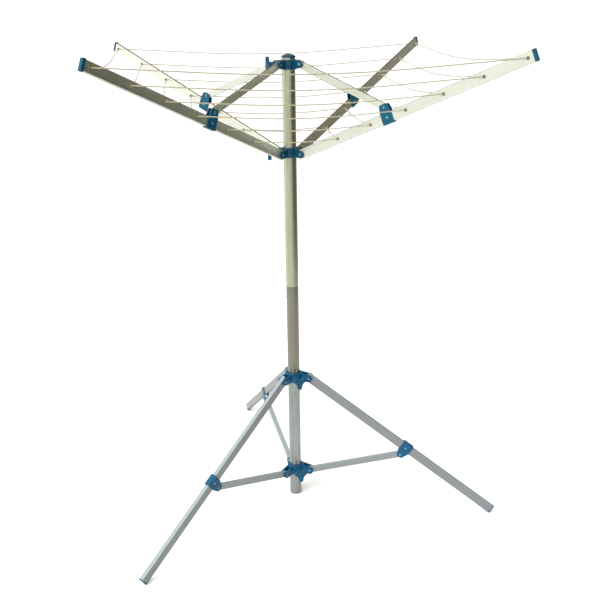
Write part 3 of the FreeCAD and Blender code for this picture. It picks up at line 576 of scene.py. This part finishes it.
class CLOTHESLINE_OT_legs(bpy.types.Operator):
    """Finishes the three legs and their braces"""

    bl_idname = "clothesline.legs"
    bl_label = "Legs and braces"

    def execute(self, context):
        settings = context.scene.clothesline_metal
        face = tuple(settings.leg_face)
        # painted light: the upper faces are painted a lighter blue-grey
        top = tuple(settings.leg_top)
        # painted shade: the undersides get a darker copy of the face colour
        low = shaded(face, 0.55)
        # painted light: the braces get a lighter copy of the legs' face colour
        pale = shaded(face, 1.15)
        for k in range(1, LEGS + 1):
            azimuth = math.radians(LEG_AZIMUTH + 120 * (k - 1))
            out = Vector((math.cos(azimuth), math.sin(azimuth), 0.0)) * LEG_PIVOT
            leg = (out + Vector((0, 0, UPPER_COLLAR_LEVEL)), azimuth, LEG_SLOPE)
            brace = (out + Vector((0, 0, LOWER_COLLAR_LEVEL)), azimuth, -BRACE_RISE)
            dress([f"leg_{k}"], extruded_metal(
                f"leg_{k}_metal", face, low, top, leg, roughness=0.4, metallic=0.6))
            dress([f"brace_{k}"], extruded_metal(
                f"brace_{k}_metal", pale, low, top, brace, roughness=0.4, metallic=0.6))
        return {"FINISHED"}


class CLOTHESLINE_OT_fasteners(bpy.types.Operator):
    """Finishes the rivets and the eyelets"""

    bl_idname = "clothesline.fasteners"
    bl_label = "Rivets and eyelets"

    def execute(self, context):
        settings = context.scene.clothesline_metal
        steel = bright_steel("rivet_steel_finish", tuple(settings.rivet), 0.34)
        tan = bright_steel("eyelet_finish", tuple(settings.eyelet), 0.5, 0.35)
        rivets = ["spigot_rivet", "upper_hub_rivets", "lower_hub_rivets"]
        rivets += ["upper_collar_rivets", "lower_collar_rivets"]
        rivets += numbered("arm_{}_rivets", ARMS) + numbered("leg_{}_rivets", LEGS)
        dress(rivets, steel)
        dress(numbered("arm_{}_eyelets", ARMS), tan)
        return {"FINISHED"}


# ------------------------------------------------------------------ mouldings

class CLOTHESLINE_OT_mouldings(bpy.types.Operator):
    """Finishes the hubs, collars, brackets, caps, feet and knobs"""

    bl_idname = "clothesline.mouldings"
    bl_label = "Mouldings"

    def execute(self, context):
        settings = context.scene.clothesline_moulding
        dress(["upper_hub", "lower_hub", "pole_cap"],
              moulded_plastic("blue_hub", tuple(settings.hub)))
        dress(numbered("arm_{}_bracket", ARMS),
              moulded_plastic("blue_bracket", tuple(settings.bracket)))
        dress(["upper_collar", "lower_collar"] + numbered("leg_{}_bracket", LEGS),
              moulded_plastic("blue_stand", tuple(settings.stand)))
        dress(numbered("arm_{}_cap", ARMS),
              moulded_plastic("blue_cap", tuple(settings.cap), 0.32, 0.0014))
        dress(["upper_hub_knob", "lower_hub_knob", "upper_collar_knob", "lower_collar_knob"],
              moulded_plastic("blue_knob", tuple(settings.knob), 0.3, 0.0012))
        dress(numbered("leg_{}_foot", LEGS),
              moulded_plastic("blue_foot", tuple(settings.foot), 0.5))
        return {"FINISHED"}


# ------------------------------------------------------------------ camera and studio

class CLOTHESLINE_OT_camera(bpy.types.Operator):
    """Stands the camera in front of the clothesline, a little above it"""

    bl_idname = "clothesline.camera"
    bl_label = "Camera"

    def execute(self, context):
        settings = context.scene.clothesline_studio
        place = Vector(settings.position)
        heading = math.atan2(-place.y, -place.x) + settings.turn
        pitch = settings.pitch
        roll = settings.roll
        ahead = Vector((
            math.cos(pitch) * math.cos(heading), math.cos(pitch) * math.sin(heading),
            -math.sin(pitch)))
        level = ahead.cross(Vector((0, 0, 1))).normalized()
        upright = level.cross(ahead)
        right = level * math.cos(roll) + upright * math.sin(roll)
        up = upright * math.cos(roll) - level * math.sin(roll)
        data = bpy.data.cameras.new("studio_camera")
        data.lens = settings.lens
        data.sensor_width = 36.0
        data.clip_end = 200.0
        camera = bpy.data.objects.new("studio_camera", data)
        aim = Matrix((right, up, -ahead)).transposed().to_4x4()
        camera.matrix_world = Matrix.Translation(place) @ aim
        context.scene.collection.objects.link(camera)
        context.scene.camera = camera
        return {"FINISHED"}


def far_light(name, toward, strength, spread, colour):
    """A large soft light far away, which shines evenly over the whole floor."""
    data = bpy.data.lights.new(name, "SUN")
    data.energy = strength
    data.angle = math.radians(spread)
    data.color = colour
    light = bpy.data.objects.new(name, data)
    light.rotation_euler = Vector(toward).to_track_quat("-Z", "Y").to_euler()
    bpy.context.scene.collection.objects.link(light)
    return light


class CLOTHESLINE_OT_studio(bpy.types.Operator):
    """Lays a plain pale floor and sets soft lights round the clothesline"""

    bl_idname = "clothesline.studio"
    bl_label = "Studio"

    def execute(self, context):
        settings = context.scene.clothesline_studio
        mesh = bmesh.new()
        bmesh.ops.create_circle(mesh, cap_ends=True, segments=96, radius=settings.reach)
        data = bpy.data.meshes.new("studio_floor")
        mesh.to_mesh(data)
        mesh.free()
        floor = bpy.data.objects.new("studio_floor", data)
        floor.location.z = -0.0005
        context.scene.collection.objects.link(floor)
        material, tree, shader = new_finish("studio_floor", 0.0, specular=0.1)
        spot = add_node(tree, "ShaderNodeTexCoord").outputs["Object"]
        cloud = grain(tree, spot, (1.5, 1.5, 1.5), detail=2.0)
        pale = tuple(settings.floor)
        tree.links.new(tint(tree, cloud, pale, shaded(pale, 0.985)), shader.inputs["Base Color"])
        shader.inputs["Roughness"].default_value = 0.9
        floor.data.materials.append(material)

        far_light("key_light", (0.78, -0.11, -0.62), settings.key, 40.0, (1.0, 1.0, 0.97))
        far_light("fill_light", (0.72, 0.6, -0.35), settings.fill, 50.0, (0.98, 0.99, 1.0))
        far_light("top_light", (0.1, 0.05, -1.0), settings.top, 70.0, (1.0, 1.0, 1.0))

        world = bpy.data.worlds.new("studio_surround")
        world.use_nodes = True
        surround = world.node_tree
        backing = surround.nodes["Background"]
        direction = add_node(surround, "ShaderNodeTexCoord").outputs["Generated"]
        leftward = add_node(surround, "ShaderNodeVectorMath", {
            0: direction, 1: (-0.8, 0.55, 0.2)}, operation="DOT_PRODUCT")
        rightward = add_node(surround, "ShaderNodeVectorMath", {
            0: direction, 1: (0.327, -0.898, -0.29)}, operation="DOT_PRODUCT")
        glow = between(surround, leftward.outputs["Value"], -0.75, 0.85, 0.58, 1.55)
        dim = between(surround, rightward.outputs["Value"], 0.66, 0.94, 1.0, 0.02)
        toned = add_node(surround, "ShaderNodeMath", {0: glow, 1: dim}, operation="MULTIPLY")
        aside = add_node(surround, "ShaderNodeVectorMath", {
            0: direction, 1: (-0.34, 0.94, 0.0)}, operation="DOT_PRODUCT")
        strip = between(surround, aside.outputs["Value"], 0.88, 0.985, 0.0, 1.0)
        share = add_node(surround, "ShaderNodeMath", {
            0: toned.outputs["Value"], 1: strip}, operation="ADD").outputs["Value"]
        seen = add_node(surround, "ShaderNodeLightPath").outputs["Is Camera Ray"]
        strength = add_node(
            surround, "ShaderNodeMix", {0: seen, 2: share, 3: 1.6}, data_type="FLOAT")
        power = add_node(surround, "ShaderNodeMath", {
            0: strength.outputs[0], 1: settings.sky}, operation="MULTIPLY")
        surround.links.new(power.outputs["Value"], backing.inputs["Strength"])
        warm = add_node(surround, "ShaderNodeMath", {0: share, 1: seen}, operation="MAXIMUM")
        hue = tint(surround, between(surround, warm.outputs["Value"], 0.1, 0.6),
                   (0.9, 0.8, 0.24), (1.0, 1.0, 0.98))
        surround.links.new(hue, backing.inputs["Color"])
        context.scene.world = world
        context.scene.view_settings.view_transform = "Standard"
        return {"FINISHED"}


# ------------------------------------------------------------------ sidebar and running

STEPS = ("camera", "line", "knots", "pole", "arms", "legs", "fasteners", "mouldings", "studio")


class CLOTHESLINE_PT_sidebar(bpy.types.Panel):
    """Lists the steps and the sizes and colours"""

    bl_idname = "CLOTHESLINE_PT_sidebar"
    bl_label = "Rotary Clothesline"
    bl_space_type = "VIEW_3D"
    bl_region_type = "UI"
    bl_category = "Clothesline"

    def draw(self, context):
        scene = context.scene
        for step in STEPS:
            self.layout.operator(f"clothesline.{step}")
        groups = (
            scene.clothesline_line, scene.clothesline_metal,
            scene.clothesline_moulding, scene.clothesline_studio)
        for group in groups:
            box = self.layout.box()
            for name in group.__annotations__:
                box.prop(group, name)


GROUPS = {
    "clothesline_line": LineSettings,
    "clothesline_metal": MetalSettings,
    "clothesline_moulding": MouldingSettings,
    "clothesline_studio": StudioSettings,
}
OPERATORS = (
    CLOTHESLINE_OT_camera, CLOTHESLINE_OT_line, CLOTHESLINE_OT_knots, CLOTHESLINE_OT_pole,
    CLOTHESLINE_OT_arms, CLOTHESLINE_OT_legs, CLOTHESLINE_OT_fasteners,
    CLOTHESLINE_OT_mouldings, CLOTHESLINE_OT_studio,
)


def register():
    for name, settings in GROUPS.items():
        bpy.utils.register_class(settings)
        setattr(bpy.types.Scene, name, bpy.props.PointerProperty(type=settings))
    for kind in OPERATORS + (CLOTHESLINE_PT_sidebar,):
        bpy.utils.register_class(kind)


def unregister():
    for kind in reversed(OPERATORS + (CLOTHESLINE_PT_sidebar,)):
        bpy.utils.unregister_class(kind)
    for name, settings in GROUPS.items():
        delattr(bpy.types.Scene, name)
        bpy.utils.unregister_class(settings)


def main():
    register()
    for step in STEPS:
        getattr(bpy.ops.clothesline, step)()
    bpy.context.view_layer.update()


if __name__ == "__main__":
    main()
